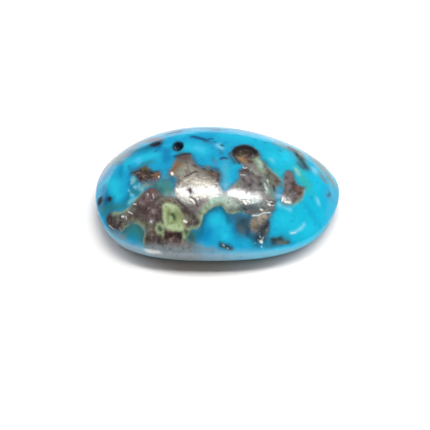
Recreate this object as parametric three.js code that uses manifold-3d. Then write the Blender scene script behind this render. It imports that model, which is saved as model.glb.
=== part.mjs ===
// Polished turquoise cabochon: one piece of stone, ground by hand to an egg-shaped dome with a
// softly rolled girdle, a low undercut wall and a flat base. A few natural pits and hollows are
// left open in the dome. Millimetres, +Z up, origin at the middle of the base.
import * as THREE from 'three';
import { mergeVertices } from 'three/addons/utils/BufferGeometryUtils.js';
import Module from 'manifold-3d';

// Overall size
const LENGTH = 25.0;
const WIDTH = 17.2;
const HEIGHT = 7.2;

// Side profile: reach is a share of the plan's outline, height is in millimetres
const BASE_REACH = 0.93;
const WALL_REACH = 0.985;
const WALL_HEIGHT = 1.45;
const CROWN_FOOT_REACH = 0.975;
const CROWN_FOOT_HEIGHT = 2.05;
const CROWN_FLAT_REACH = 0.62;
const CROWN_SHOULDER_REACH = 0.86;
const CROWN_SHOULDER_HEIGHT = 3.8;

// Plan outline: an oval with fuller flanks, one narrower end and both ends bent towards -Y
const FLANK_FULLNESS = 0.15;
const END_TAPER = 0.1;
const END_BEND = 0.058;

// Slow waves that hand grinding leaves in the outline: waves around, height as a share of the reach
const OUTLINE_WAVES = [
  { count: 4, height: 0.013 },
  { count: 5, height: 0.016 },
];

// Facets
const STEPS_AROUND = 88;
const STEPS_WALL = 5;
const STEPS_GIRDLE = 4;
const STEPS_CROWN = 22;
const PIT_STEPS_AROUND = 20;
const PIT_STEPS_DOWN = 12;

// Pits and hollows: place on the plan, half sizes along X and Y, and depth below the dome
const PITS = {
  roundPit: { x: -4.1, y: 1.4, halfX: 0.56, halfY: 0.76, depth: 0.75 },
  bronzeHollow: { x: 2.75, y: 0.25, halfX: 1.3, halfY: 1.05, depth: 0.42 },
  farLeftPit: { x: -6.4, y: 2.4, halfX: 0.48, halfY: 0.36, depth: 0.26 },
  leftRimPit: { x: -10.95, y: -2.8, halfX: 0.26, halfY: 0.34, depth: 0.2 },
  maroonHollow: { x: -4.4, y: -7.4, halfX: 0.85, halfY: 0.26, depth: 0.22 },
  oliveHollow: { x: -4.4, y: -6.2, halfX: 0.36, halfY: 0.3, depth: 0.16 },
};

// The profile runs from the middle of the base, round the wall and girdle, to the top of the dome
function profilePoints() {
  const point = (reach, height) => new THREE.Vector2(reach, height);
  const baseRim = point(BASE_REACH, 0);
  const widest = point(1, WALL_HEIGHT);
  const crownFoot = point(CROWN_FOOT_REACH, CROWN_FOOT_HEIGHT);
  const top = point(0, HEIGHT);
  const rise = CROWN_FOOT_HEIGHT - WALL_HEIGHT;
  const wall = new THREE.CubicBezierCurve(
    baseRim,
    point(WALL_REACH, WALL_HEIGHT / 4),
    point(1, WALL_HEIGHT / 2),
    widest,
  );
  const girdle = new THREE.CubicBezierCurve(
    widest,
    point(1, WALL_HEIGHT + rise / 2),
    point((1 + CROWN_FOOT_REACH) / 2, CROWN_FOOT_HEIGHT - rise / 3),
    crownFoot,
  );
  const crown = new THREE.CubicBezierCurve(
    crownFoot,
    point(CROWN_SHOULDER_REACH, CROWN_SHOULDER_HEIGHT),
    point(CROWN_FLAT_REACH, HEIGHT),
    top,
  );
  return [
    point(0, 0),
    ...wall.getPoints(STEPS_WALL),
    ...girdle.getPoints(STEPS_GIRDLE).slice(1),
    ...crown.getPoints(STEPS_CROWN).slice(1),
  ];
}

// Where a point of the round blank goes on the egg-shaped plan
function planPoint(x, y) {
  const reach = Math.hypot(x, y);
  const angle = Math.atan2(y, x);
  let swell = 1;
  for (const wave of OUTLINE_WAVES) {
    swell += reach ** 2 * wave.height * Math.sin(wave.count * angle);
  }
  const u = x * swell;
  const v = y * swell;
  return [
    u * (1 + FLANK_FULLNESS * (1 - u * u)),
    v * (1 - END_TAPER * u) - END_BEND * u * u,
  ];
}

// The stone before its pits: a lathe-turned blank reshaped to the plan and brought to size
function blankGeometry() {
  const geometry = new THREE.LatheGeometry(profilePoints(), STEPS_AROUND);
  geometry.rotateX(Math.PI / 2);
  const position = geometry.attributes.position;
  for (let i = 0; i < position.count; i += 1) {
    const [x, y] = planPoint(position.getX(i), position.getY(i));
    position.setXY(i, x, y);
  }
  geometry.computeBoundingBox();
  const size = geometry.boundingBox.getSize(new THREE.Vector3());
  const middle = geometry.boundingBox.getCenter(new THREE.Vector3());
  geometry.translate(-middle.x, -middle.y, 0);
  geometry.scale(LENGTH / size.x, WIDTH / size.y, 1);
  return geometry;
}

// An egg-shaped cutter set on the dome, square to its surface, under the given place on the plan
function pitGeometry(pit, blank) {
  const above = new THREE.Vector3(pit.x, pit.y, 2 * HEIGHT);
  const down = new THREE.Vector3(0, 0, -1);
  const [hit] = new THREE.Raycaster(above, down).intersectObject(blank);
  const turn = new THREE.Quaternion().setFromUnitVectors(new THREE.Vector3(0, 0, 1), hit.face.normal);
  const geometry = new THREE.SphereGeometry(1, PIT_STEPS_AROUND, PIT_STEPS_DOWN);
  geometry.rotateX(Math.PI / 2);
  geometry.scale(pit.halfX, pit.halfY, pit.depth);
  geometry.applyQuaternion(turn);
  geometry.translate(hit.point.x, hit.point.y, hit.point.z);
  return geometry;
}

const wasm = await Module();
wasm.setup();

// A closed geometry as a solid: only its places are kept, and triangles with no area are dropped
function toSolid(geometry) {
  const bare = geometry.clone();
  bare.deleteAttribute('normal');
  bare.deleteAttribute('uv');
  const merged = mergeVertices(bare);
  const index = merged.index.array;
  const triangles = [];
  for (let i = 0; i < index.length; i += 3) {
    const [a, b, c] = index.slice(i, i + 3);
    if (a !== b && b !== c && c !== a) triangles.push(a, b, c);
  }
  const mesh = new wasm.Mesh({
    numProp: 3,
    vertProperties: new Float32Array(merged.attributes.position.array),
    triVerts: new Uint32Array(triangles),
  });
  return new wasm.Manifold(mesh);
}

// A solid back as a geometry with normals
function toGeometry(solid) {
  const mesh = solid.getMesh();
  const geometry = new THREE.BufferGeometry();
  geometry.setAttribute('position', new THREE.BufferAttribute(mesh.vertProperties, 3));
  geometry.setIndex(new THREE.BufferAttribute(mesh.triVerts, 1));
  geometry.computeVertexNormals();
  return geometry;
}

function stoneGeometry() {
  const blank = blankGeometry();
  const blankMesh = new THREE.Mesh(blank);
  let solid = toSolid(blank);
  for (const pit of Object.values(PITS)) {
    solid = solid.subtract(toSolid(pitGeometry(pit, blankMesh)));
  }
  return toGeometry(solid);
}

const turquoise = new THREE.MeshStandardMaterial({ color: 0x23a6d8, roughness: 0.15, metalness: 0 });
const stone = new THREE.Mesh(stoneGeometry(), turquoise);
stone.name = 'turquoise_stone';

const cabochon = new THREE.Group();
cabochon.add(stone);

export default cabochon;
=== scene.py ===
import math

import bpy
import numpy as np
from mathutils import Matrix, Vector, noise


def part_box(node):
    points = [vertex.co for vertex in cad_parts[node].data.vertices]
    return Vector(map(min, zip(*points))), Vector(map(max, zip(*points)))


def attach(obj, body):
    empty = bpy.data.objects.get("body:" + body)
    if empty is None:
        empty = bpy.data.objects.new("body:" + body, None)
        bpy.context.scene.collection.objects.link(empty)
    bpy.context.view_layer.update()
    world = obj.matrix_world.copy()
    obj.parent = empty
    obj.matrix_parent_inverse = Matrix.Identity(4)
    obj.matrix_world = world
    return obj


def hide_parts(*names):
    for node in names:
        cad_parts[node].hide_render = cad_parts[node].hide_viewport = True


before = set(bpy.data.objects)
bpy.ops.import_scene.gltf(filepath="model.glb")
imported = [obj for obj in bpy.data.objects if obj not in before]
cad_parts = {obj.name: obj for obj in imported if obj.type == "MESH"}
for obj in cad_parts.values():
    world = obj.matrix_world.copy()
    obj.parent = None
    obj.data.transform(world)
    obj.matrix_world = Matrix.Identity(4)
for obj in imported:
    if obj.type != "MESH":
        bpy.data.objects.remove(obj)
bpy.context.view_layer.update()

# Stone, its form
# One piece of natural turquoise, ground by hand on a wheel to an egg-shaped dome with a softly
# rolled girdle, a low undercut wall and a flat base, then polished all over the dome and wall.
STONE_NODE = "turquoise_stone"
MM = 0.001
stone_low, stone_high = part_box(STONE_NODE)
stone_size = stone_high - stone_low

# The profile's reach is a share of the plan's outline; its heights are in metres
BASE_REACH = 0.93
WALL_REACH = 0.985
CROWN_FOOT_REACH = 0.975
CROWN_FLAT_REACH = 0.62
CROWN_SHOULDER_REACH = 0.86
WALL_HEIGHT = 1.45 * MM
CROWN_FOOT_HEIGHT = 2.05 * MM
CROWN_SHOULDER_HEIGHT = 3.8 * MM

# The plan is an oval with fuller flanks, one narrower end, both ends bent and slow grinding waves
FLANK_FULLNESS = 0.15
END_TAPER = 0.1
END_BEND = 0.058
OUTLINE_WAVES = ((4, 0.013), (5, 0.016))

# Shares of the mesh's points: the crown, the base, the girdle's part of the rest, and how evenly
# the points of the crown are spread
CROWN_SHARE = 0.82
BASE_SHARE = 0.07
GIRDLE_SHARE_OF_WALL = 0.4
CROWN_EVENNESS = 0.62
POINTS_PER_EDGE = 128


class Wire:
    """A socket of a node tree for use in sums: wire * 2 + other adds the nodes it needs."""

    def __init__(self, tree, socket=None):
        self.tree = tree
        self.socket = socket

    def node(self, kind, settings=None, sockets=None, out=0):
        """Adds a node: first its settings, then the values or links of its sockets."""
        made = self.tree.nodes.new(kind)
        for name, value in (settings or {}).items():
            setattr(made, name, value)
        for name, value in (sockets or {}).items():
            if isinstance(value, Wire):
                self.tree.links.new(value.socket, made.inputs[name])
            else:
                made.inputs[name].default_value = value
        return Wire(self.tree, made.outputs[out])

    def math(self, operation, *values):
        return self.node("ShaderNodeMath", {"operation": operation}, dict(enumerate(values)))

    def vector(self, operation, *values):
        return self.node("ShaderNodeVectorMath", {"operation": operation}, dict(enumerate(values)))

    def part(self, axis):
        """One of a vector's three values."""
        return self.node("ShaderNodeSeparateXYZ", None, {0: self}, axis)

    def __add__(self, other):
        return self.math("ADD", self, other)

    def __sub__(self, other):
        return self.math("SUBTRACT", self, other)

    def __rsub__(self, other):
        return self.math("SUBTRACT", other, self)

    def __mul__(self, other):
        return self.math("MULTIPLY", self, other)

    def __truediv__(self, other):
        return self.math("DIVIDE", self, other)

    def __rtruediv__(self, other):
        return self.math("DIVIDE", other, self)

    def __pow__(self, other):
        return self.math("POWER", self, other)

    def __lt__(self, other):
        return self.math("LESS_THAN", self, other)

    def __gt__(self, other):
        return self.math("GREATER_THAN", self, other)

    __radd__ = __add__
    __rmul__ = __mul__

    def held(self):
        """The value, kept between 0 and 1."""
        return self.math("MINIMUM", self.math("MAXIMUM", self, 0.0), 1.0)

    def pick(self, yes, no):
        """One of two values: yes where this wire is 1, no where it is 0."""
        return self * yes + (1 - self) * no


def bezier(step, start, start_pull, end_pull, end):
    """A cubic curve's value at a step from 0 to 1."""
    back = 1 - step
    near = back * back * (back * start + 3 * (step * start_pull))
    return near + step * step * (3 * (back * end_pull) + step * end)


def stone_tree():
    """Geometry nodes of the ground stone: an even ball of points, drawn over profile and plan."""
    tree = bpy.data.node_groups.new("ground_stone", "GeometryNodeTree")
    for name in ("Length", "Width", "Height", "Wall height", "Crown foot height"):
        tree.interface.new_socket(name, in_out="INPUT", socket_type="NodeSocketFloat")
    tree.interface.new_socket("Points per edge", in_out="INPUT", socket_type="NodeSocketInt")
    tree.interface.new_socket("Finish", in_out="INPUT", socket_type="NodeSocketMaterial")
    tree.interface.new_socket("Stone", in_out="OUTPUT", socket_type="NodeSocketGeometry")
    entry = tree.nodes.new("NodeGroupInput")
    size = {socket.name: Wire(tree, socket) for socket in entry.outputs if socket.name}
    start = Wire(tree)

    points = size["Points per edge"]
    cube = start.node("GeometryNodeMeshCube", None, {
        "Size": (2.0, 2.0, 2.0),
        "Vertices X": points,
        "Vertices Y": points,
        "Vertices Z": points,
    })
    place = start.node("GeometryNodeInputPosition")
    even_angles = start.vector("MULTIPLY", place, (math.pi / 4,) * 3)
    ball = start.vector("NORMALIZE", start.vector("TANGENT", even_angles))
    ball_x, ball_y, ball_z = (ball.part(axis) for axis in range(3))
    angle = start.math("ARCTAN2", ball_y, ball_x)
    share = (1 - ball_z) / 2
    crown_foot = size["Crown foot height"]
    wall_top = size["Wall height"]

    crown_step = (share / CROWN_SHARE).held() ** 0.5
    crown_step = crown_step * (CROWN_EVENNESS + (1 - CROWN_EVENNESS) * crown_step)
    crown_reach = bezier(crown_step, 0, CROWN_FLAT_REACH, CROWN_SHOULDER_REACH, CROWN_FOOT_REACH)
    crown_rise = bezier(crown_step, size["Height"], size["Height"], CROWN_SHOULDER_HEIGHT, crown_foot)
    drop = ((share - CROWN_SHARE) / (1 - CROWN_SHARE - BASE_SHARE)).held()
    roll = (drop / GIRDLE_SHARE_OF_WALL).held()
    step_height = crown_foot - wall_top
    roll_reach = bezier(roll, CROWN_FOOT_REACH, (1 + CROWN_FOOT_REACH) / 2, 1, 1)
    roll_rise = bezier(
        roll, crown_foot, crown_foot - step_height / 3, wall_top + step_height / 2, wall_top,
    )
    fall = ((drop - GIRDLE_SHARE_OF_WALL) / (1 - GIRDLE_SHARE_OF_WALL)).held()
    wall_reach = bezier(fall, 1, 1, WALL_REACH, BASE_REACH)
    wall_rise = bezier(fall, wall_top, wall_top / 2, wall_top / 4, 0)
    base_reach = ((1 - share) / BASE_SHARE).held() ** 0.5 * BASE_REACH

    on_crown = share < CROWN_SHARE
    on_base = share > 1 - BASE_SHARE
    on_girdle = drop < GIRDLE_SHARE_OF_WALL
    reach = on_crown.pick(crown_reach, on_base.pick(base_reach, on_girdle.pick(roll_reach, wall_reach)))
    lift = on_crown.pick(crown_rise, on_base.pick(0, on_girdle.pick(roll_rise, wall_rise)))

    swell = 1
    for count, height in OUTLINE_WAVES:
        swell = swell + reach * reach * height * start.math("SINE", angle * count)
    along = reach * swell * start.math("COSINE", angle)
    across = reach * swell * start.math("SINE", angle)
    plan_x = along * (1 + FLANK_FULLNESS * (1 - along * along))
    plan_y = across * (1 - END_TAPER * along) - END_BEND * along * along
    drawn = start.node("GeometryNodeSetPosition", None, {
        "Geometry": cube,
        "Position": start.node("ShaderNodeCombineXYZ", None, {0: plan_x, 1: plan_y, 2: lift}),
    })

    corners = [
        start.node("GeometryNodeBoundBox", None, {"Geometry": drawn}, out) for out in ("Min", "Max")
    ]
    low_x, low_y, high_x, high_y = (corner.part(axis) for corner in corners for axis in (0, 1))
    old_x, old_y, old_z = (place.part(axis) for axis in range(3))
    sized = start.node("GeometryNodeSetPosition", None, {
        "Geometry": drawn,
        "Position": start.node("ShaderNodeCombineXYZ", None, {
            0: ((old_x - low_x) / (high_x - low_x) - 0.5) * size["Length"],
            1: ((old_y - low_y) / (high_y - low_y) - 0.5) * size["Width"],
            2: old_z,
        }),
    })
    smooth = start.node("GeometryNodeSetShadeSmooth", None, {"Geometry": sized})
    real = start.node("GeometryNodeRealizeInstances", None, {"Geometry": smooth})
    finished = start.node("GeometryNodeSetMaterial", None, {
        "Geometry": real,
        "Material": size["Finish"],
    })
    leave = tree.nodes.new("NodeGroupOutput")
    tree.links.new(finished.socket, leave.inputs["Stone"])
    return tree


def ground_stone(finish):
    """The stone as a plain mesh object with its finish, before its pits and markings."""
    tree = stone_tree()
    maker = bpy.data.objects.new("stone_maker", bpy.data.meshes.new("stone_maker"))
    bpy.context.scene.collection.objects.link(maker)
    grind = maker.modifiers.new("grind", "NODES")
    grind.node_group = tree
    values = {
        "Length": stone_size.x,
        "Width": stone_size.y,
        "Height": stone_size.z,
        "Wall height": WALL_HEIGHT,
        "Crown foot height": CROWN_FOOT_HEIGHT,
        "Points per edge": POINTS_PER_EDGE,
        "Finish": finish,
    }
    for socket in tree.interface.items_tree:
        if socket.in_out == "INPUT":
            grind[socket.identifier] = values[socket.name]
    depsgraph = bpy.context.evaluated_depsgraph_get()
    mesh = bpy.data.meshes.new_from_object(maker.evaluated_get(depsgraph))
    bpy.data.objects.remove(maker)
    mesh.name = "polished_turquoise"
    stone = bpy.data.objects.new("polished_turquoise", mesh)
    bpy.context.scene.collection.objects.link(stone)
    return stone


# Stone, its markings
# Brown limonite rock and pyrite grew through the turquoise as veins and masses, with pale green
# rims of altered stone; the wheel cut them all flush, and a few grains fell out and left pits.
# Outlines are in millimetres on the plan; beyond the rim they run down over the wall, and the
# base has a plan of its own, BASE_SHIFT further along.
# Some laid colours below are painted highlights, painted reflection or painted shade, noted where
# listed.
BASE_SHIFT = 40.0
MATRIX_OUTLINES = {
    "left_mass": [
        (-11.3, -4.6), (-11.15, -4.2), (-10.5, -4.5), (-9.8, -4.95), (-9.1, -4.85), (-8.5, -4.6),
        (-7.9, -4.2), (-7.4, -3.75), (-6.8, -3.45), (-6.2, -3.65), (-5.75, -4.15), (-5.4, -4.6),
        (-4.5, -4.65), (-3.6, -5.0), (-3.0, -5.4), (-2.6, -6.2), (-2.6, -7.1), (-2.9, -7.4),
        (-3.2, -7.8), (-2.4, -8.3), (-1.4, -9.2), (-3.0, -10.2), (-6.8, -9.4), (-7.4, -8.2),
        (-7.25, -7.4), (-7.1, -6.85), (-7.7, -6.35), (-8.3, -6.05), (-9.2, -6.1), (-9.8, -6.2),
        (-10.35, -6.0), (-10.95, -5.4),
    ],
    "central_plate": [
        (-4.3, -4.8), (-4.25, -3.7), (-4.05, -3.1), (-4.2, -2.65), (-4.85, -2.45), (-4.95, -2.05),
        (-4.65, -1.5), (-4.3, -0.9), (-4.2, -0.35), (-3.85, -0.05), (-3.3, 0.1), (-2.8, -0.1),
        (-2.65, -0.7), (-2.35, -1.3), (-1.9, -1.75), (-1.1, -1.95), (-0.4, -2.15), (0.1, -2.35),
        (0.2, -2.9), (0.1, -3.7), (0.5, -4.3), (0.2, -4.7), (-0.7, -5.0), (-1.5, -5.3),
        (-2.2, -5.6), (-3.2, -5.6),
    ],
    "plate_foot": [
        (-2.5, -5.3), (-1.5, -4.75), (-0.4, -4.5), (0.7, -4.2), (1.0, -4.6), (0.3, -5.0), (-0.4, -5.2),
        (-1.2, -5.6), (-1.9, -5.9),
    ],
    "lower_web": [
        (-3.6, -5.6), (-2.6, -5.3), (-1.9, -5.4), (-1.6, -5.9), (-1.65, -6.5), (-1.75, -7.05),
        (-2.5, -7.15), (-3.0, -6.8), (-3.2, -6.2),
    ],
    "right_mass": [
        (0.7, -4.55), (1.25, -4.0), (1.8, -3.45), (2.2, -2.9), (2.15, -2.3), (2.4, -1.7),
        (3.2, -1.2), (4.0, -0.2), (4.45, -0.6), (4.85, -1.3), (5.4, -1.8), (5.95, -2.2),
        (6.4, -2.75), (6.1, -3.1), (5.7, -3.5), (5.7, -4.1), (5.85, -4.7), (5.65, -5.3),
        (5.3, -5.65), (4.6, -5.8), (3.6, -6.1), (2.9, -6.0), (2.2, -5.85), (1.5, -6.0),
        (1.1, -6.05), (0.8, -5.7), (0.3, -5.45), (-0.3, -5.5), (-0.9, -5.75), (-1.3, -6.2),
        (-1.7, -6.0), (-1.2, -5.3), (-0.4, -4.95),
    ],
    "bronze_hollow": [
        (1.3, 0.0), (1.5, 0.65), (2.0, 1.25), (2.7, 1.5), (3.4, 1.3), (3.9, 0.9), (4.2, 0.35),
        (4.25, -0.3), (3.8, -0.9), (3.2, -1.6), (2.6, -1.6), (2.2, -1.1), (1.8, -0.6),
    ],
    "right_patch": [
        (6.85, -1.3), (7.2, -1.1), (7.55, -1.35), (7.65, -2.0), (7.95, -2.5), (8.45, -2.55),
        (8.8, -2.4), (8.6, -2.95), (8.35, -3.6), (8.0, -4.05), (7.45, -4.45), (6.95, -4.65),
        (6.5, -4.6), (6.4, -4.2), (6.65, -3.6), (6.6, -2.8), (6.65, -2.0),
    ],
    "upper_left_patch": [
        (-8.8, -1.15), (-8.2, -1.1), (-7.75, -0.9), (-7.3, -0.75), (-7.0, -1.0), (-6.8, -1.5),
        (-6.5, -1.75), (-5.9, -1.8), (-5.75, -2.2), (-5.85, -2.8), (-6.4, -2.85), (-6.9, -2.65),
        (-7.5, -2.75), (-7.95, -2.4), (-8.2, -1.8), (-8.6, -1.5),
    ],
    "bronze_wedge": [
        (3.3, -6.95), (3.4, -6.4), (3.6, -6.12), (4.4, -5.85), (5.4, -5.6), (5.2, -6.1), (4.7, -6.5),
        (4.1, -7.05), (3.55, -7.22),
    ],
    "under_wedge": [
        (3.7, -7.15), (4.1, -6.9), (4.7, -6.4), (5.1, -6.15), (5.2, -6.6), (5.05, -7.15), (4.5, -7.35),
    ],
    "far_left_mass": [
        (-11.3, 3.6), (-10.6, 4.3), (-10.0, 4.1), (-9.2, 4.7), (-8.5, 4.7), (-8.0, 5.3), (-7.3, 5.0),
        (-6.6, 5.4), (-6.5, 5.9), (-5.9, 6.3), (-6.4, 6.8), (-6.2, 7.3), (-7.0, 7.6), (-7.2, 8.6),
        (-8.4, 8.4), (-9.4, 9.2), (-10.2, 7.8), (-11.2, 7.4), (-11.6, 6.2), (-12.6, 5.6), (-12.6, 4.4),
    ],
    "far_vein": [
        (-6.2, 6.0), (-5.4, 6.3), (-4.8, 6.0), (-4.2, 6.2), (-3.6, 5.8), (-3.0, 6.4), (-2.2, 6.4),
        (-1.6, 6.8), (-0.9, 6.8), (-0.3, 7.4), (-1.1, 7.4), (-1.8, 7.2), (-2.4, 6.9), (-3.1, 7.0),
        (-3.6, 6.5), (-4.4, 6.9), (-5.0, 6.7), (-6.0, 6.9),
    ],
    "far_patch": [
        (1.4, 7.4), (1.9, 6.9), (2.3, 6.95), (2.7, 6.4), (3.3, 6.6), (3.7, 6.1), (4.3, 6.3), (4.9, 6.0),
        (5.3, 6.4), (4.8, 6.9), (4.9, 7.4), (4.2, 7.3), (3.8, 7.9), (3.1, 7.6), (2.6, 8.2), (2.0, 7.8),
    ],
    "far_right_mass": [
        (6.0, 5.2), (6.7, 4.7), (7.3, 5.0), (7.8, 4.4), (8.6, 4.6), (9.2, 4.0), (9.9, 3.8), (10.4, 3.0),
        (11.2, 2.5), (11.9, 2.8), (11.6, 3.8), (12.2, 4.6), (11.0, 5.2), (10.4, 6.4), (9.4, 6.0),
        (8.6, 6.9), (7.8, 6.2), (7.0, 6.4), (6.6, 5.7),
    ],
    "base_mass": [
        (33.0, 2.0), (35.0, 3.4), (37.5, 3.0), (39.5, 4.2), (42.0, 3.4), (43.2, 1.6), (41.6, 0.4),
        (42.4, -1.6), (40.4, -2.6), (38.6, -1.2), (36.2, -1.8), (34.4, -0.2),
    ],
    "base_vein": [
        (45.0, -4.6), (46.4, -2.6), (48.6, -1.4), (49.8, 0.6), (50.2, -0.8), (49.0, -2.6), (47.2, -4.2),
        (45.6, -5.6),
    ],
}
LIME_OUTLINES = {
    "lime_patch": [
        (-5.5, -5.2), (-4.9, -5.1), (-4.45, -5.3), (-4.0, -5.5), (-3.7, -5.95), (-3.4, -6.35),
        (-3.2, -6.65), (-3.15, -6.95), (-3.3, -7.3), (-3.7, -7.4), (-4.3, -7.25), (-5.1, -7.1),
        (-5.4, -6.5),
    ],
    "far_lime": [
        (-5.95, 6.4), (-5.5, 6.25), (-5.3, 6.5), (-4.9, 6.6), (-5.1, 7.0), (-5.45, 7.05), (-5.6, 7.4),
        (-5.95, 7.1),
    ],
    "lime_drop": [(-3.5, -7.3), (-3.25, -7.4), (-3.15, -7.7), (-3.35, -7.8), (-3.5, -7.6)],
}
# Thin edges of altered green stone, the first two round a small ring: a run of points and a half
# width. Here and below, a half width of 0 or less leaves only the soft edge of the run.
LIME_EDGES = [
    ([
        (-6.1, -6.98), (-5.98, -6.72), (-5.68, -6.66), (-5.42, -6.86), (-5.36, -7.2), (-5.42, -7.5),
    ], 0.05),
    ([(-5.36, -7.2), (-5.62, -7.28), (-5.95, -7.2), (-6.1, -6.98)], 0.04),
    ([(-3.0, -7.2), (-2.4, -7.2), (-1.85, -7.05), (-1.6, -6.7), (-1.5, -6.2), (-1.2, -5.9)], 0.0),
    ([(-0.4, -5.5), (0.2, -5.45), (0.7, -5.65), (1.05, -6.05), (1.5, -6.05), (2.2, -5.9)], -0.04),
]
PYRITE_OUTLINES = {
    "central_plate": MATRIX_OUTLINES["central_plate"],
    "right_plate": [
        (0.9, -4.5), (1.5, -4.0), (2.2, -3.9), (2.6, -4.1), (3.6, -4.2), (4.3, -4.3), (4.5, -4.8),
        (4.0, -5.3), (3.2, -5.4), (2.3, -5.1), (1.6, -4.75),
    ],
    "silver_foot": [
        (6.4, -4.1), (6.8, -3.75), (7.3, -3.85), (7.5, -4.2), (7.2, -4.6), (6.7, -4.65), (6.4, -4.5),
    ],
    "far_left_plate": [(-9.6, 6.2), (-8.6, 6.7), (-7.4, 6.8), (-6.9, 6.3), (-7.6, 5.7), (-9.0, 5.5)],
    "base_mass": [(37.0, 0.4), (38.8, 1.8), (40.6, 2.4), (41.0, 0.8), (39.4, -0.4), (37.8, -0.6)],
}
DARK_OUTLINES = {
    "round_pit": [
        (-4.7, 1.4), (-4.55, 2.0), (-4.1, 2.25), (-3.65, 2.0), (-3.5, 1.4), (-3.65, 0.8), (-4.1, 0.5),
        (-4.55, 0.8),
    ],
    "hollow_arc": [
        (1.35, 0.3), (1.45, 0.7), (1.9, 1.3), (2.6, 1.6), (3.3, 1.45), (3.8, 1.05), (4.1, 0.5),
        (3.8, 0.6), (3.3, 1.0), (2.6, 1.1), (2.0, 0.8), (1.6, 0.3),
    ],
    "plate_cap": [
        (-4.3, -0.35), (-4.0, -0.05), (-3.4, 0.2), (-2.85, 0.15), (-2.75, -0.02), (-3.3, 0.0),
        (-3.8, -0.18),
    ],
    "maroon_block": [(-4.1, -7.38), (-3.6, -7.42), (-3.45, -7.65), (-3.6, -7.85), (-4.0, -7.8)],
    "far_left_smear": [
        (-6.95, 2.5), (-6.3, 2.8), (-5.8, 2.6), (-5.8, 2.05), (-6.4, 1.85), (-6.9, 2.05),
    ],
    "left_edge_spot": [(-12.4, -1.7), (-11.85, -1.65), (-11.65, -2.1), (-11.8, -2.6), (-12.4, -2.4)],
}
# Cracks and dark seams: a run of points and a half width
CRACKS = [
    ([(-3.3, -2.75), (-2.8, -2.55), (-2.3, -2.2), (-2.05, -2.3)], 0.1),
    ([(-3.3, -0.7), (-3.1, -1.3), (-3.0, -1.9), (-2.75, -2.5)], 0.05),
    ([(-2.7, -4.8), (-2.2, -5.0), (-2.0, -5.6)], 0.06),
    ([(-4.2, -4.8), (-3.6, -5.35), (-3.0, -5.75)], 0.08),
    ([(2.2, -2.1), (2.7, -1.95), (3.1, -2.0)], 0.07),
    ([(-2.8, -4.15), (-2.65, -4.4)], 0.1),
    ([(-2.5, -1.45), (-2.2, -1.65)], 0.1),
    ([(-1.5, -1.95), (-1.3, -2.05)], 0.1),
    ([(-0.7, -2.1), (-0.45, -2.3)], 0.1),
    ([(0.0, -2.5), (0.05, -2.75)], 0.1),
    ([(0.05, -3.1), (0.0, -3.3)], 0.08),
    ([(4.85, -3.05), (4.9, -3.25)], 0.06),
    ([(4.55, -3.4), (4.6, -3.7)], 0.04),
    ([(3.6, -6.35), (4.0, -6.5), (4.1, -6.75)], 0.0),
    ([(1.5, 0.0), (1.85, -0.7), (2.15, -1.2)], 0.09),
    ([(3.1, -0.6), (3.4, -0.8)], 0.1),
    ([(5.6, -3.2), (5.65, -3.75)], 0.07),
    ([(1.95, -3.95), (2.1, -4.3)], 0.0),
    ([(2.85, -4.1), (2.8, -4.4)], 0.02),
    ([(3.5, -4.25), (3.65, -4.5)], 0.0),
    ([(1.35, -4.25), (1.6, -4.4)], -0.02),
]
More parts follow.
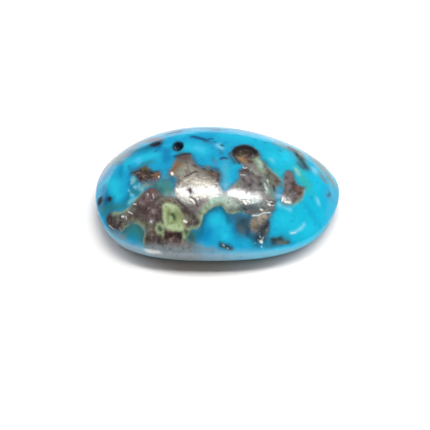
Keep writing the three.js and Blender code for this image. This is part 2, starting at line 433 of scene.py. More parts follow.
# Painted highlights: white laid where pyrite grains and a few edges would glint under the lamp: a run
# of points and a half width
PAINTED_GLINTS = [
    ([(-4.62, -2.2), (-4.56, -2.35)], 0.14),
    ([(-8.4, -4.58), (-8.15, -4.68)], 0.03),
    ([(-8.95, -5.05), (-8.7, -5.25), (-8.5, -5.38)], 0.03),
    ([(-9.6, -5.2), (-9.4, -5.3)], 0.06),
    ([(-9.2, -5.35), (-9.1, -5.6)], 0.02),
    ([(-6.5, -4.15), (-6.35, -4.55)], 0.03),
    ([(-6.65, -6.35), (-6.58, -6.42)], 0.03),
    ([(-7.05, -3.95), (-6.95, -4.1)], 0.03),
    ([(-2.7, -5.0), (-2.45, -5.15), (-2.28, -5.38)], 0.08),
    ([(-3.35, -6.65), (-3.05, -6.75)], 0.07),
    ([(3.5, -6.12), (4.1, -6.02), (4.6, -5.78), (5.3, -5.65)], 0.03),
    ([(4.35, -7.64), (4.5, -7.66)], 0.08),
    ([(4.12, -7.56), (4.16, -7.6)], 0.02),
    ([(4.48, -7.5), (4.52, -7.54)], 0.03),
    ([(4.6, -7.42), (4.64, -7.4)], 0.01),
    ([(4.28, -7.36), (4.32, -7.4)], 0.01),
    ([(3.85, -7.8), (3.92, -7.78)], 0.0),
    ([(4.46, -7.92), (4.52, -7.92)], 0.03),
    ([(-10.95, -5.2), (-10.7, -5.5), (-10.35, -5.88)], 0.0),
    ([(7.4, -6.6), (7.65, -6.55), (7.9, -6.4)], 0.0),
    ([(5.05, -5.02), (5.28, -5.06)], 0.07),
    ([(4.85, -4.75), (5.2, -4.85), (5.45, -4.75)], 0.03),
    ([(5.45, -5.08), (5.68, -5.02)], 0.02),
    ([(4.28, -5.56), (4.5, -5.58)], 0.06),
    ([(4.95, -2.75), (5.05, -2.95)], 0.03),
    ([(4.7, -3.1), (4.75, -3.3)], 0.03),
    ([(4.75, -3.6), (4.95, -3.75)], 0.05),
    ([(5.15, -3.2), (5.2, -3.35)], 0.01),
    ([(6.45, -4.5), (6.55, -4.15)], 0.05),
    ([(6.8, -4.48), (7.3, -4.4)], 0.07),
    ([(7.0, -4.0), (7.1, -4.1)], 0.02),
    ([(2.15, -4.95), (2.4, -5.05)], 0.05),
    ([(2.6, -5.1), (2.85, -5.25)], 0.1),
    ([(2.95, -5.0), (3.25, -5.12)], 0.06),
    ([(2.3, -5.25), (2.4, -5.3)], 0.02),
    ([(3.45, -5.2), (3.55, -5.1)], 0.02),
    ([(2.5, -1.62), (2.7, -1.75), (2.9, -1.6)], 0.03),
    ([(2.25, -2.52), (2.75, -2.5)], 0.03),
    ([(0.5, -8.08), (0.8, -8.15)], 0.0),
    ([(0.95, -8.2), (1.2, -8.3)], 0.0),
    ([(-4.42, 1.8), (-4.4, 1.65)], 0.02),
    ([(-5.93, -2.4), (-5.9, -2.5)], 0.06),
    ([(-4.15, -3.9), (-4.0, -4.15)], 0.04),
]
# Where the edge of the matrix has a pale green rim: a run of points and a half width
GREEN_RIMS = [
    ([(-10.2, -4.6), (-9.4, -4.9), (-8.6, -4.5), (-7.8, -4.0)], 0.3),
    ([(-9.4, -6.1), (-8.3, -6.05), (-7.6, -6.5), (-7.2, -7.0), (-7.2, -7.6)], 0.3),
    ([
        (-2.9, -7.2), (-1.8, -7.0), (-1.5, -6.4), (-1.0, -5.8), (0.2, -5.5), (1.1, -6.05), (2.3, -5.85),
    ], 0.35),
    ([(5.0, -1.5), (5.8, -2.1), (6.4, -2.8)], 0.2),
    ([(8.9, -2.6), (8.5, -3.4), (8.1, -4.1), (7.5, -4.5)], 0.3),
    ([(-11.0, 3.8), (-8.6, 4.8), (-6.2, 5.4), (-4.0, 6.0), (-1.2, 6.6), (-0.6, 7.2)], 0.3),
    ([(1.5, 7.4), (2.6, 6.3), (4.6, 6.6), (4.4, 7.4)], 0.25),
    ([(6.4, 5.1), (8.0, 4.4), (9.6, 3.7), (11.0, 2.8)], 0.25),
]


def tone(red, green, blue):
    """A colour from its display values of 0 to 255."""
    def linear(value):
        share = value / 255
        return share / 12.92 if share <= 0.04045 else ((share + 0.055) / 1.055) ** 2.4
    return (linear(red), linear(green), linear(blue), 1.0)


AZURE = tone(24, 164, 209)
CYAN = tone(18, 188, 214)
PALE_AZURE = tone(34, 200, 230)
ICE = tone(136, 214, 236)
DEEP_AZURE = tone(4, 122, 178)
NAVY = tone(8, 58, 108)
LILAC_BLUE = tone(84, 134, 176)
SLATE = tone(52, 104, 132)
TEAL = tone(46, 124, 132)
SEA_GREY = tone(72, 134, 128)
OCEAN = tone(18, 104, 128)
SKY = tone(84, 198, 240)
INK = tone(16, 30, 60)
DARK_SLATE = tone(52, 76, 86)
LAVENDER = tone(150, 164, 192)
SEA_GREEN = tone(50, 176, 172)
MINT = tone(140, 202, 198)
SAGE = tone(156, 182, 154)
PALE_SAGE = tone(186, 222, 204)
SAGE_GREY = tone(112, 116, 98)
PALE_STONE = tone(172, 175, 166)
MOSS = tone(58, 98, 74)
STONE_GREY = tone(128, 133, 132)
PEARL = tone(184, 188, 190)
WALL_REFLECTION_BLUE = tone(118, 166, 184)
WALL_REFLECTION_GREY = tone(134, 140, 142)
PLUM_BROWN = tone(96, 81, 79)
UMBER = tone(58, 47, 43)
MAROON = tone(74, 48, 47)
CHARCOAL = tone(42, 46, 50)
MAUVE = tone(138, 118, 120)
MAUVE_GREY = tone(120, 109, 113)
STEEL = tone(122, 121, 121)
RUST = tone(128, 82, 68)
BRONZE = tone(172, 124, 82)
OLD_BRASS = tone(138, 122, 90)
OLIVE = tone(94, 100, 46)
BEIGE = tone(206, 201, 187)
SILVER = tone(213, 216, 214)
LIME = tone(150, 170, 122)
PALE_LIME = tone(192, 210, 168)

# Soft colours of the turquoise, laid on in order: colour, share, half width and a run of points
TURQUOISE_TINTS = [
    (CYAN, 0.8, 4.5, [(7.0, 0.0), (8.0, -4.0)]),
    (PALE_AZURE, 0.95, 0.6, [(-11.2, -0.5), (-10.7, -1.4), (-10.3, -2.2)]),
    (PALE_AZURE, 0.8, 0.35, [(-10.4, -2.6), (-9.9, -3.4)]),
    (PALE_AZURE, 0.7, 0.4, [(-9.6, 1.0), (-9.2, -0.4)]),
    (PALE_AZURE, 0.8, 0.7, [(-8.8, 0.4), (-6.0, 0.5)]),
    (SKY, 0.7, 0.3, [(-8.15, 0.45), (-7.95, -0.1)]),
    (DEEP_AZURE, 0.5, 0.3, [(-9.9, 0.2), (-9.8, -1.0)]),
    (DEEP_AZURE, 0.7, 0.25, [(-9.0, -0.2), (-8.85, -1.6), (-8.85, -2.6)]),
    (DEEP_AZURE, 0.7, 0.35, [(-11.6, -0.9), (-11.4, -2.4)]),
    (DEEP_AZURE, 0.5, 0.3, [(-9.6, -3.7), (-9.2, -4.1)]),
    (DEEP_AZURE, 0.8, 0.55, [(-6.0, 1.5), (-5.3, 0.8), (-5.1, -0.4)]),
    (OCEAN, 0.7, 0.6, [(-8.9, 2.2), (-7.2, 1.9)]),
    (NAVY, 0.6, 0.15, [(-6.4, 1.12), (-6.3, 1.05)]),
    (SLATE, 0.7, 0.35, [(-10.1, 1.3), (-9.9, 1.0)]),
    (LILAC_BLUE, 0.6, 0.4, [(-11.4, 0.2), (-11.2, 0.8)]),
    (LAVENDER, 0.5, 0.4, [(-12.1, 0.8), (-11.6, 1.6)]),
    (STONE_GREY, 0.9, 0.8, [(-11.3, 2.9), (-10.3, 2.3), (-9.6, 2.0)]),
    (STONE_GREY, 0.7, 0.5, [(-12.0, 2.0), (-11.2, 3.5)]),
    (MAUVE, 0.5, 0.3, [(-9.6, 3.0), (-9.2, 3.3)]),
    (STONE_GREY, 0.6, 0.4, [(-8.9, 3.0), (-8.5, 2.8)]),
    (MAUVE_GREY, 0.85, 0.45, [(-7.0, 3.3), (-6.0, 3.0)]),
    (INK, 0.9, 0.45, [(-6.65, 2.35), (-6.05, 2.25)]),
    (NAVY, 0.5, 0.3, [(-6.4, 1.9), (-6.1, 1.75)]),
    (OCEAN, 0.8, 0.5, [(-12.0, -2.6), (-11.5, -3.3), (-10.8, -3.8)]),
    (NAVY, 0.5, 0.35, [(-11.7, -2.3), (-11.2, -2.8)]),
    (INK, 1.0, 0.3, [(-11.05, -2.7), (-10.85, -2.98)]),
    (TEAL, 0.85, 0.4, [(-11.3, -3.6), (-10.6, -4.0), (-9.4, -4.4)]),
    (TEAL, 0.5, 0.5, [(-8.4, -2.4), (-8.0, -3.4), (-7.4, -3.2)]),
    (MINT, 0.7, 0.22, [(-8.5, -1.7), (-8.4, -2.2)]),
    (MINT, 0.8, 0.22, [(-7.9, -3.0), (-7.55, -3.4)]),
    (ICE, 0.8, 0.15, [(-8.35, -2.85), (-8.25, -3.0)]),
    (MINT, 0.8, 0.1, [(-8.75, -2.0), (-8.6, -2.4)]),
    (TEAL, 0.8, 0.12, [(-8.2, -2.3), (-8.0, -2.5)]),
    (ICE, 0.8, 0.09, [(-8.0, -2.6), (-7.9, -2.8)]),
    (OCEAN, 0.7, 0.2, [(-8.9, -3.3), (-9.1, -3.9)]),
    (ICE, 0.7, 0.08, [(-8.95, -3.0), (-8.85, -3.2)]),
    (MINT, 0.7, 0.12, [(-8.8, -3.5), (-8.5, -3.8)]),
    (MINT, 0.6, 0.12, [(-8.4, -4.35), (-7.9, -4.0), (-7.5, -3.6)]),
    (NAVY, 0.5, 0.12, [(-8.65, -2.75), (-8.5, -3.05)]),
    (TEAL, 0.8, 0.25, [(-8.6, -3.2), (-8.0, -3.6)]),
    (MINT, 0.7, 0.18, [(-8.9, -4.3), (-8.2, -4.15)]),
    (SLATE, 0.7, 0.3, [(-8.7, -0.8), (-8.1, -0.8)]),
    (TEAL, 0.6, 0.35, [(-7.5, -0.45), (-6.8, -0.4)]),
    (SLATE, 0.8, 0.3, [(-7.8, -2.5), (-7.0, -2.8)]),
    (SAGE_GREY, 0.9, 0.35, [(-7.0, -3.0), (-6.2, -3.15)]),
    (SAGE, 0.45, 0.22, [(-7.4, -3.0), (-7.05, -3.2)]),
    (MOSS, 0.85, 0.3, [(-6.15, -3.3), (-6.0, -3.9)]),
    (SEA_GREY, 0.97, 0.9, [(-5.3, -3.1), (-4.9, -4.1)]),
    (MOSS, 0.6, 0.22, [(-5.7, -3.7), (-5.4, -4.2)]),
    (SLATE, 0.5, 0.2, [(-5.4, -2.9), (-5.0, -2.9)]),
    (LILAC_BLUE, 0.6, 0.25, [(-5.4, -2.6), (-5.0, -2.7)]),
    (SLATE, 0.7, 0.3, [(-4.7, -2.7), (-4.4, -3.2)]),
    (SAGE, 0.5, 0.3, [(-5.2, -4.4), (-4.6, -4.5)]),
    (NAVY, 0.85, 0.25, [(-4.3, -0.2), (-3.9, 0.05)]),
    (DARK_SLATE, 0.8, 0.25, [(-3.6, 0.15), (-2.9, 0.1)]),
    (TEAL, 0.6, 0.25, [(-4.1, 0.4), (-3.6, 0.5)]),
    (DARK_SLATE, 0.7, 0.3, [(-2.75, -0.4), (-2.3, -1.2), (-1.8, -1.65), (-1.0, -1.75), (-0.2, -1.95)]),
    (DARK_SLATE, 0.7, 0.25, [(-0.1, -2.0), (0.25, -2.4), (0.2, -3.2)]),
    (MAUVE, 0.6, 0.18, [(-1.1, -1.7), (-0.9, -1.75)]),
    (PALE_AZURE, 0.9, 0.7, [(-2.8, 1.2), (-1.4, 0.4)]),
    (SKY, 0.6, 0.35, [(-2.1, 0.9), (-1.7, 0.6)]),
    (PALE_AZURE, 0.5, 0.4, [(-4.0, 3.1), (-2.6, 3.8)]),
    (PALE_AZURE, 0.5, 0.7, [(0.2, 3.0), (4.0, 2.8)]),
    (NAVY, 0.95, 0.28, [(-2.6, 2.85), (-2.5, 2.85)]),
    (NAVY, 0.95, 0.27, [(-2.15, 2.65), (-1.6, 2.4), (-1.1, 2.1)]),
    (NAVY, 0.7, 0.18, [(-0.9, 2.3), (-0.6, 2.4)]),
    (NAVY, 0.5, 0.15, [(-0.4, 1.9), (-0.3, 1.8)]),
    (SLATE, 0.5, 0.3, [(-1.3, 1.9), (-0.7, 1.7)]),
    (DARK_SLATE, 0.7, 0.25, [(-0.5, 4.55), (0.1, 4.45)]),
    (INK, 0.8, 0.32, [(-5.2, 4.25), (-4.4, 4.4), (-3.9, 4.5)]),
    (ICE, 0.7, 0.28, [(0.0, 1.4), (0.3, 0.8)]),
    (INK, 0.9, 0.18, [(0.33, 1.4), (0.42, 1.3)]),
    (SLATE, 0.7, 0.14, [(0.1, 0.6), (0.25, 0.5)]),
    (SLATE, 0.8, 0.14, [(0.2, 0.2), (0.35, 0.1)]),
    (LILAC_BLUE, 0.7, 0.25, [(0.3, -0.6), (0.8, -0.65)]),
    (NAVY, 0.85, 0.18, [(0.25, -0.6), (0.5, -0.42), (0.85, -0.6)]),
    (LILAC_BLUE, 0.8, 0.2, [(-0.35, -0.9), (-0.25, -1.35)]),
    (TEAL, 0.6, 0.16, [(-0.5, -0.55), (-0.5, -0.85)]),
    (PALE_AZURE, 0.6, 0.5, [(0.7, -1.5), (0.9, -3.2)]),
    (STONE_GREY, 0.22, 0.5, [(0.7, -1.5), (0.6, -3.6)]),
    # Painted highlight: the lamp's reflection on the blue tip between the plates
    (ICE, 0.6, 0.35, [(0.4, -3.9), (1.1, -3.8)]),
    (DARK_SLATE, 0.8, 0.28, [(1.25, 0.1), (1.35, -0.6), (1.7, -1.1)]),
    (PALE_AZURE, 0.8, 0.5, [(-0.3, -6.6), (0.5, -6.9), (0.8, -7.5)]),
    (OCEAN, 0.95, 0.34, [
        (-1.45, -7.0), (-1.3, -6.3), (-0.8, -5.9), (0.2, -5.65), (0.9, -6.05), (1.2, -6.5),
    ]),
    (DEEP_AZURE, 0.7, 0.4, [(-0.9, -7.5), (-1.9, -7.8)]),
    (OCEAN, 0.7, 0.3, [(-2.6, -7.8), (-1.6, -7.4)]),
    (MOSS, 0.95, 0.42, [(-3.1, -7.35), (-2.6, -7.5), (-2.5, -8.0)]),
    (DARK_SLATE, 0.6, 0.3, [(-2.9, -7.6), (-2.6, -7.9)]),
    (STONE_GREY, 0.7, 0.25, [(-2.9, -8.2), (-1.6, -8.35), (-0.2, -8.5)]),
    (DEEP_AZURE, 0.7, 0.35, [(1.4, -6.5), (1.9, -7.3)]),
    (SLATE, 0.95, 0.45, [(1.7, -6.3), (3.0, -6.4)]),
    (DARK_SLATE, 0.97, 0.48, [(2.2, -6.8), (3.0, -6.9)]),
    (DARK_SLATE, 0.9, 0.42, [(2.3, -7.1), (3.0, -7.2)]),
    (STONE_GREY, 0.2, 0.22, [(2.3, -7.15), (2.7, -7.25)]),
    (INK, 0.6, 0.18, [(2.5, -6.5), (2.7, -6.5)]),
    (DARK_SLATE, 0.9, 0.3, [(3.05, -6.4), (3.3, -7.0)]),
    (NAVY, 0.5, 0.3, [(3.1, -7.3), (3.6, -7.5)]),
    (DARK_SLATE, 0.9, 0.3, [(4.1, -6.95), (5.0, -6.6)]),
    (CHARCOAL, 0.97, 0.48, [(4.0, -7.55), (4.4, -7.35), (4.7, -7.25)]),
    (DARK_SLATE, 0.95, 0.28, [(5.5, -7.5), (6.4, -7.3), (7.2, -7.25)]),
    (SAGE_GREY, 0.6, 0.1, [(5.9, -7.2), (6.2, -7.3)]),
    (UMBER, 0.7, 0.12, [(6.5, -7.35), (7.0, -7.3)]),
    (STONE_GREY, 0.5, 0.08, [(6.3, -7.5), (6.9, -7.5)]),
    (UMBER, 0.7, 0.1, [(5.6, -7.35), (5.7, -7.55)]),
    (CHARCOAL, 0.9, 0.2, [(5.7, -7.35), (6.4, -7.15)]),
    (SAGE_GREY, 0.6, 0.15, [(6.1, -7.45), (6.9, -7.3)]),
    (CHARCOAL, 0.95, 0.2, [(0.35, -8.1), (0.9, -8.22), (1.4, -8.3)]),
    (SLATE, 0.6, 0.25, [(5.0, -7.85), (6.6, -7.65)]),
    (OCEAN, 0.5, 0.5, [(-9.2, -6.6), (-8.0, -7.0)]),
    (TEAL, 0.9, 0.45, [(-9.4, -6.5), (-8.0, -6.7), (-7.6, -7.2)]),
    (STONE_GREY, 0.7, 0.35, [(-10.9, -5.9), (-10.2, -6.4), (-9.5, -6.9)]),
    (MOSS, 0.8, 0.2, [(-9.3, -6.3), (-8.2, -6.25), (-7.5, -6.9), (-7.35, -7.4)]),
    (PALE_AZURE, 0.8, 0.7, [(5.6, 0.3), (6.9, 0.4)]),
    (PALE_AZURE, 0.9, 0.4, [(6.9, 1.2), (7.0, 0.0)]),
    (ICE, 0.4, 0.25, [(5.4, -0.2), (5.5, -0.4)]),
    (TEAL, 0.6, 0.35, [(4.6, -0.5), (5.0, -1.3), (5.5, -1.7)]),
    (SEA_GREEN, 0.6, 0.35, [(5.9, -1.5), (6.4, -2.3)]),
    (MINT, 0.7, 0.14, [(5.0, -1.35), (5.9, -2.05), (6.35, -2.6)]),
    (SLATE, 0.6, 0.25, [(6.35, -2.9), (6.3, -3.4)]),
    (LAVENDER, 0.8, 0.2, [(5.9, -3.2), (5.85, -3.5)]),
    (LILAC_BLUE, 0.6, 0.3, [(6.1, -3.7), (6.3, -4.3)]),
    # Painted highlight: the lamp's reflection on the blue under the right patch's foot
    (ICE, 0.6, 0.22, [(6.0, -4.8), (7.2, -4.95)]),
    (SEA_GREEN, 0.95, 0.62, [(8.1, -0.95), (8.8, -2.0)]),
    (MINT, 0.8, 0.25, [(7.9, -0.8), (8.1, -1.2)]),
    (SEA_GREEN, 0.4, 0.4, [(9.2, -2.2), (9.4, -2.6)]),
    (MINT, 0.7, 0.1, [(8.85, -2.6), (8.55, -3.4), (8.2, -4.05), (7.6, -4.6)]),
    (DEEP_AZURE, 0.4, 0.4, [(8.9, -4.2), (10.0, -4.9)]),
    (PALE_AZURE, 0.5, 0.8, [(6.0, -5.9), (7.6, -5.9)]),
    # A pale streak that is partly painted highlight, whitest at its lower end
    (ICE, 0.85, 0.12, [(7.3, -6.6), (7.8, -6.4), (8.3, -6.0), (8.8, -5.6)]),
    (PALE_AZURE, 0.5, 0.5, [(8.8, -6.1), (9.9, -5.1)]),
    (ICE, 0.5, 0.2, [(5.6, 3.4), (5.6, 3.2)]),
    (SLATE, 0.5, 0.16, [(5.7, 2.6), (5.65, 2.4)]),
    (DEEP_AZURE, 0.6, 0.7, [(-3.6, 7.6), (0.4, 8.0)]),
    (PALE_AZURE, 0.7, 0.6, [(0.2, 6.6), (1.0, 7.2)]),
    (DEEP_AZURE, 0.5, 0.6, [(4.8, 7.0), (6.0, 6.6)]),
    (SLATE, 0.6, 0.13, [(4.65, 2.35), (4.8, 2.4)]),
    (SLATE, 0.7, 0.15, [(6.25, 1.35), (6.35, 1.45)]),
    (STONE_GREY, 0.65, 0.6, [(6.2, 2.8), (7.0, 2.4)]),
    (STONE_GREY, 0.5, 0.7, [(8.0, 2.0), (8.6, 0.5)]),
    (CHARCOAL, 0.9, 0.32, [(7.3, 2.6), (7.7, 2.45), (8.0, 2.2)]),
    (INK, 0.85, 0.24, [(7.95, 1.7), (8.05, 1.3)]),
    (SAGE_GREY, 0.75, 0.36, [(8.4, 2.2), (8.55, 1.2)]),
    (DARK_SLATE, 0.95, 0.38, [(8.4, 0.8), (8.8, 0.3), (8.9, 0.0)]),
    (DARK_SLATE, 0.75, 0.3, [(8.1, 0.2), (8.5, -0.3)]),
    (UMBER, 0.7, 0.2, [(7.2, 2.45), (7.85, 2.0)]),
    (UMBER, 0.5, 0.22, [(8.0, 1.7), (8.55, 1.0)]),
    (DARK_SLATE, 0.7, 0.3, [(8.9, 0.3), (9.2, 0.05)]),
    (LILAC_BLUE, 0.6, 0.3, [(9.5, 2.1), (9.9, 1.9)]),
    (STONE_GREY, 0.7, 0.5, [(10.0, 1.9), (10.8, 1.1), (11.7, 0.5)]),
    (STONE_GREY, 0.8, 0.3, [(10.5, 0.0), (10.9, -0.4)]),
    (ICE, 0.7, 0.35, [(9.8, 0.3), (9.9, 0.0)]),
    (PALE_AZURE, 0.5, 0.4, [(10.1, -0.9), (10.1, -1.6)]),
    (ICE, 0.6, 0.22, [(10.05, -3.0), (10.15, -3.2)]),
    (LILAC_BLUE, 0.5, 0.3, [(11.4, -1.2), (11.1, -2.0)]),
    (CHARCOAL, 0.6, 0.13, [(11.4, -1.35), (11.25, -1.75)]),
    # Grey along the far left rim: partly the stone's own grey, partly painted shade dulling the grazing
    # reflection
    (STONE_GREY, 0.9, 1.2, [(-11.6, 3.4), (-9.8, 4.6), (-7.6, 5.4), (-5.6, 6.0)]),
    (MAUVE_GREY, 0.7, 0.45, [(-8.6, 3.6), (-7.2, 3.8), (-6.2, 3.6)]),
    (RUST, 0.35, 0.2, [(-9.6, 3.4), (-8.9, 3.9)]),
    (UMBER, 0.4, 0.16, [(-8.3, 3.7), (-7.0, 4.1)]),
    # Painted shade: greys along the far rim and the right end dull the grazing reflection of the table
    (SLATE, 0.6, 0.5, [(-4.6, 4.9), (-1.9, 5.0), (2.7, 4.8), (5.0, 4.6)]),
    (STONE_GREY, 0.8, 0.8, [(5.6, 4.7), (8.0, 3.9), (9.8, 2.9), (10.8, 1.8)]),
    (SEA_GREY, 0.6, 0.6, [(10.4, 2.2), (11.2, 1.4), (11.6, 0.4)]),
    (SEA_GREY, 0.3, 0.3, [(11.9, 0.3), (12.4, -0.8), (12.5, -2.0)]),
]
# Soft colours of the altered green stone, laid on in order in the same way
LIME_TINTS = [
    (PALE_LIME, 0.8, 0.25, [(-5.4, -5.3), (-4.8, -5.3), (-4.2, -5.6)]),
    (PALE_LIME, 0.6, 0.2, [(-5.35, -5.6), (-5.25, -6.8)]),
    (PALE_LIME, 0.7, 0.2, [(-4.9, -6.95), (-3.8, -7.05), (-3.1, -7.25)]),
    (OLIVE, 0.4, 0.12, [(-4.75, -5.7), (-5.0, -6.2), (-4.8, -6.7)]),
    (OLIVE, 0.95, 0.3, [(-4.45, -6.15), (-4.3, -6.4)]),
    (MOSS, 0.8, 0.17, [(-4.42, -6.15), (-4.33, -6.35)]),
    (OLIVE, 0.35, 0.15, [(-4.0, -5.9), (-3.7, -6.3)]),
    (OLD_BRASS, 0.6, 0.22, [(-3.55, -6.3), (-3.2, -6.65), (-3.2, -6.95)]),
    (PALE_LIME, 0.4, 0.5, [(-5.9, -6.9), (-5.6, -7.3)]),
    (OLIVE, 0.7, 0.18, [(-5.55, 6.6), (-5.45, 6.85)]),
]
